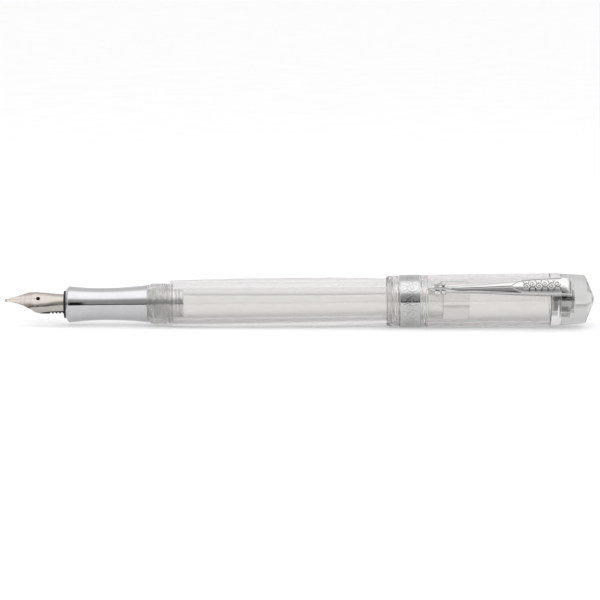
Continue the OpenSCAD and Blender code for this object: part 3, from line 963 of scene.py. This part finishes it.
def clip_cut(x, y, half, distance):
    """Depth of the clip's grooves and engraving at a place on its top."""
    field = field_half(x, half)
    if LEAF_END < x < FIELD_FRONT + 0.2:
        return 0.12 * math.exp(-(y / 0.1) ** 2) * min(1, x - LEAF_END)
    if field > 0:
        rim = 0.09 * math.exp(-((abs(y) - field) / 0.09) ** 2)
        inside = abs(y) < field and x > FIELD_FRONT + 2.8
        line = 0.09 * math.exp(-(distance(x, y) / 0.12) ** 2) if inside else 0
        return max(rim, line)
    if x < LEAF_END:
        vein = abs((x - abs(y) * 1.2) / 0.55 % 1 - 0.5) * 2
        return 0.16 * max(0, vein - 0.7) + 0.08 * math.exp(-(y / 0.09) ** 2)
    return 0


def make_clip():
    scroll = [[(FIELD_FRONT + 3.1 + x, y) for x, y in line]
              for line in scroll_lines(FIELD_BACK - FIELD_FRONT - 3.3, 1.75, 6)]
    distance = nearest_line(scroll)
    vertices, faces, relief_and_shade, rings = [], [], [], []
    for x, crown, fold, half in smooth_curve(CLIP_STATIONS, 0.07):
        ring = []
        for y, z, on_top in clip_section(crown, fold, half, 76, 8, 14):
            depth = clip_cut(x, y, half, distance) if on_top else 0
            ring.append(len(vertices))
            vertices.append((x, y, z - depth))
            relief_and_shade.append(min(1, depth / 0.1))
        rings.append(ring)
    size = len(rings[0])
    for a, b in zip(rings, rings[1:]):
        faces += quads(a, b)
    for ring in (rings[0], rings[-1]):
        total = sum((Vector(vertices[n]) for n in ring), Vector())
        middle = len(vertices)
        vertices.append(tuple(total / size))
        relief_and_shade.append(0)
        for j in range(size):
            faces.append((ring[j], ring[(j + 1) % size], middle))
    blade = finish_mesh("clip_engraved", vertices, faces, 50, relief_and_shade)
    petals = [make_petal(x, across, length, side)
              for x, across, length in ((40.55, 1.5, 0.95), (42.2, 1.3, 0.62))
              for side in (-1, 1)]
    return turned_to(joined("clip_engraved", [blade, make_leg()] + petals), CLIP_TURN)


def make_leg():
    """The bent end of the clip's head that reaches down to the foot."""
    half = 2.46
    front, back = CLIP_HEAD - 0.98, CLIP_HEAD - 0.01
    outline = rounded([(front, 7.6), (front, 5.97, 0.12), (back, 5.97, 0.12), (back, 7.6)], 0.1)
    vertices = [(x, y, z) for y in (-half, half) for x, z in outline]
    n = len(outline)
    faces = [(i, (i + 1) % n, n + (i + 1) % n, n + i) for i in range(n)]
    faces += [tuple(range(n)), tuple(range(2 * n - 1, n - 1, -1))]
    return finish_mesh("leg", vertices, faces, 40, [0] * len(vertices))


def make_petal(x, across, length, side):
    """One of the small petals beside the leaf-shaped tip, with painted shade along its lower rim.
    """
    rows, columns = 16, 28
    lean = side * math.radians(20)
    centre = Vector((x, side * across, 7.66))
    vertices, relief_and_shade = [], []
    for i in range(rows + 1):
        polar = math.pi * i / rows
        for j in range(columns):
            a = TAU * j / columns
            along = length * math.cos(polar)
            out = 0.55 * math.sin(polar) * math.cos(a)
            height = 0.42 * math.sin(polar) * math.sin(a)
            dimple = 0.16 * math.exp(-(along ** 2 / 0.2 + out ** 2 / 0.04))
            height -= dimple if height > 0 else 0
            p = Vector((along * math.cos(lean) - out * math.sin(lean),
                        along * math.sin(lean) + out * math.cos(lean), height))
            vertices.append(tuple(centre + p))
            # painted shade: the lower rim, where the petal meets the blade, is darkened, and so is
            # the dimple
            relief_and_shade.append(max(dimple / 0.4, min(1, max(0, 0.06 - height) * 8)))
    rings = [range(i * columns, (i + 1) * columns) for i in range(rows + 1)]
    faces = [face for a, b in zip(rings, rings[1:]) for face in quads(a, b)]
    return finish_mesh("petal", vertices, faces, 60, relief_and_shade, weld=True)


def make_bush():
    rows = rounded([(BUSH_FRONT, SCREW_R, 0.05), (BUSH_FRONT, BUSH_R, 0.18),
                    (BUSH_FRONT + 0.9, BUSH_R, 0.06), (BUSH_FRONT + 0.9, BUSH_R - 0.5, 0.08),
                    (BUSH_BACK - 0.7, BUSH_R - 0.5, 0.08), (BUSH_BACK - 0.7, BUSH_R, 0.06),
                    (BUSH_BACK, BUSH_R, 0.1), (BUSH_BACK, SCREW_R, 0.05)], 0.05)
    return lathe("clip_bush_metal", rows)


def make_screw():
    head = SCREW_BACK - 1.0
    rows = [(SCREW_FRONT, 0)]
    rows += rounded([(SCREW_FRONT, 1.2), (SCREW_FRONT, 1.38, 0.05), (SCREW_FRONT + 0.15, 1.44)])
    rows += thread_rows(SCREW_FRONT + 0.2, BUSH_FRONT, 0.4, 1.4, 1.5, 0.2)
    rows += rounded([(BUSH_FRONT + 0.05, 1.5), (head, 1.5, 0.05), (head, 2.4, 0.06),
                     (SCREW_BACK, 2.4, 0.25), (SCREW_BACK, 1.6), (SCREW_BACK - 0.1, 1.5, 0.05),
                     (SCREW_BACK - 0.1, 0)], 0.05)
    return lathe("clip_screw_steel", rows, 96, loop=False)


def make_nut():
    rows = rounded([(NUT_FRONT, SCREW_R, 0.05), (NUT_FRONT, NUT_R, 0.2), (NUT_BACK, NUT_R, 0.08),
                    (NUT_BACK, SCREW_R, 0.03)], 0.05)
    return lathe("clip_nut_steel", rows, 96)


place(make_clip(), "clip", ENGRAVED, "engraved_chrome", "clip")
place(make_bush(), "cap", TURNED, "plated_brass", "clip_bush")
place(make_screw(), "cap", PLATED, "steel", "clip_screw")
place(make_nut(), "cap", STEEL, "steel", "clip_nut")

for node, material in (("feed", BLACK), ("clip_foot", PLATED)):
    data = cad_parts[node].data
    data.materials.clear()
    data.materials.append(material)


# ---------------------------------------------------------------- floor, light and camera

def make_floor():
    """A pale sheet, lit a little from below, that the pen rests on with its belly and band."""
    rest_front = Vector((-BELLY_HALF, 0, -BELLY_R))
    rest_back = Vector((BAND_FRONT, 0, -BAND_R))
    slope = math.atan2(rest_back.z - rest_front.z, rest_back.x - rest_front.x)
    mesh = bpy.data.meshes.new("floor")
    gap = 0.01
    sides = 64
    vertices = [(0, 0, 0)]
    faces = []
    for n, r in enumerate((60, 150, 400, 1200, 3500, 9000)):
        for i in range(sides):
            a = TAU * i / sides
            vertices.append((r * MM * math.cos(a), r * MM * math.sin(a), 0))
            j = (i + 1) % sides
            if n == 0:
                faces.append((0, 1 + i, 1 + j))
            else:
                inner = 1 + (n - 1) * sides
                outer = 1 + n * sides
                faces.append((inner + i, outer + i, outer + j, inner + j))
    mesh.from_pydata(vertices, [], faces)
    floor = linked("floor", mesh)
    floor.location = Vector((rest_front.x, 0, rest_front.z - gap)) * MM
    floor.rotation_euler = (0, -slope, 0)
    look = Look("pale floor").set(Roughness=0.9, Specular_IOR_Level=0.1,
                                  Emission_Color=(1, 1, 1, 1), Emission_Strength=0.37)
    grain = look.noise(look.stretched(0.05, 0.05, 0.05), 2.0)
    look.wire(look.ramp(grain, [(0.3, (0.46, 0.46, 0.46)), (0.7, (0.475, 0.475, 0.475))]),
              "Base Color")
    mesh.materials.append(look.material)


def make_light():
    """A wide soft box overhead between grey walls, with a dark strip at the horizon in front
    of the pen, and a soft lamp that lifts the pen's shadow on the floor."""
    world = bpy.data.worlds.new("studio")
    bpy.context.scene.world = world
    world.use_nodes = True
    studio = Graph(world.node_tree)
    background = studio.nodes["Background"]
    unit = studio.add("ShaderNodeVectorMath", operation="NORMALIZE")
    studio.put(unit.inputs[0], studio.add("ShaderNodeTexCoord").outputs["Generated"])
    sideways, back, height = studio.parts(unit.outputs["Vector"])
    front = studio.math("MULTIPLY", back, -1)
    turn = studio.math("DIVIDE", studio.math("ARCTAN2", height, front), math.pi)
    brightest = 2.0         # radiance that a level of 1 stands for

    def sky(stops):
        """A grey for each elevation in degrees, 0 in front of the pen and 180 behind it."""
        colours = []
        for degrees, radiance in stops:
            level = radiance / brightest
            colours.append((degrees / 180, (level, level, level * 1.01)))
        return studio.ramp(turn, colours)

    def step(value, start, stop):
        """Goes smoothly from 0 at start to 1 at stop."""
        return studio.between(value, 0.0, 1.0, start, stop, "SMOOTHSTEP")

    above = [(36, 0.66), (43.5, 1.17), (50, 1.66), (65, 1.82), (92, 1.82), (102, 1.5),
             (110, 1.05), (140, 0.9), (165, 0.95), (172, 1.0), (177, 0.75), (180, 0.5)]
    plain = sky([(0, 0.02), (4, 0.02), (7, 0.39), (15, 0.45), (29, 0.5)] + above)
    flagged = sky([(0, 0.02), (19, 0.02), (23, 0.46), (29, 0.5)] + above)
    # dark flags stand low at both sides of the camera
    right = studio.math("MULTIPLY", step(sideways, 0.05, 0.11), step(sideways, 0.5, 0.42))
    left = step(sideways, -0.26, -0.32)
    room = studio.mixed(studio.math("MAXIMUM", right, left), plain, flagged)
    # towards the pen's two ends the studio is an even pale grey
    level = 0.72 / brightest
    far = step(studio.math("ABSOLUTE", sideways), 0.75, 0.97)
    studio.put(background.inputs["Color"], studio.mixed(far, room, (level, level, level, 1)))
    background.inputs["Strength"].default_value = brightest
    make_lamp()


def make_lamp():
    """A soft lamp in front of the pen that no mirror and no clear piece shows."""
    distance = 700
    elevation = math.radians(30)
    light = bpy.data.lights.new("front fill", "AREA")
    light.shape = "RECTANGLE"
    light.size = 500 * MM
    light.size_y = 250 * MM
    light.energy = 4
    lamp = linked("front fill", light)
    away = Vector((0, -math.cos(elevation), math.sin(elevation)))
    lamp.location = away * distance * MM
    lamp.rotation_euler = away.to_track_quat("Z", "Y").to_euler()
    lamp.visible_camera = False
    lamp.visible_glossy = False
    lamp.visible_transmission = False


def make_camera():
    """A long lens in front of the pen, a little above it."""
    elevation = math.radians(8)
    roll = math.radians(0.59)
    distance = 850
    seen_width = 160.8      # millimetres across the picture at the pen
    aim = Vector((4.0, 0, 0.54))
    camera = bpy.data.cameras.new("camera")
    camera.sensor_width = 36
    camera.lens = camera.sensor_width * distance / seen_width
    camera.clip_end = 50
    eye = linked("camera", camera)
    ahead = Vector((0, math.cos(elevation), -math.sin(elevation)))
    up = Vector((0, math.sin(elevation), math.cos(elevation)))
    side = Vector((1, 0, 0))
    right = side * math.cos(roll) - up * math.sin(roll)
    top = up * math.cos(roll) + side * math.sin(roll)
    turn = Matrix((right, top, -ahead)).transposed().to_4x4()
    eye.matrix_world = Matrix.Translation((aim - ahead * distance) * MM) @ turn
    bpy.context.scene.camera = eye


make_floor()
make_light()
make_camera()
scene = bpy.context.scene
scene.view_settings.view_transform = "Standard"
scene.cycles.transmission_bounces = 24
scene.cycles.max_bounces = 32
scene.cycles.glossy_bounces = 12
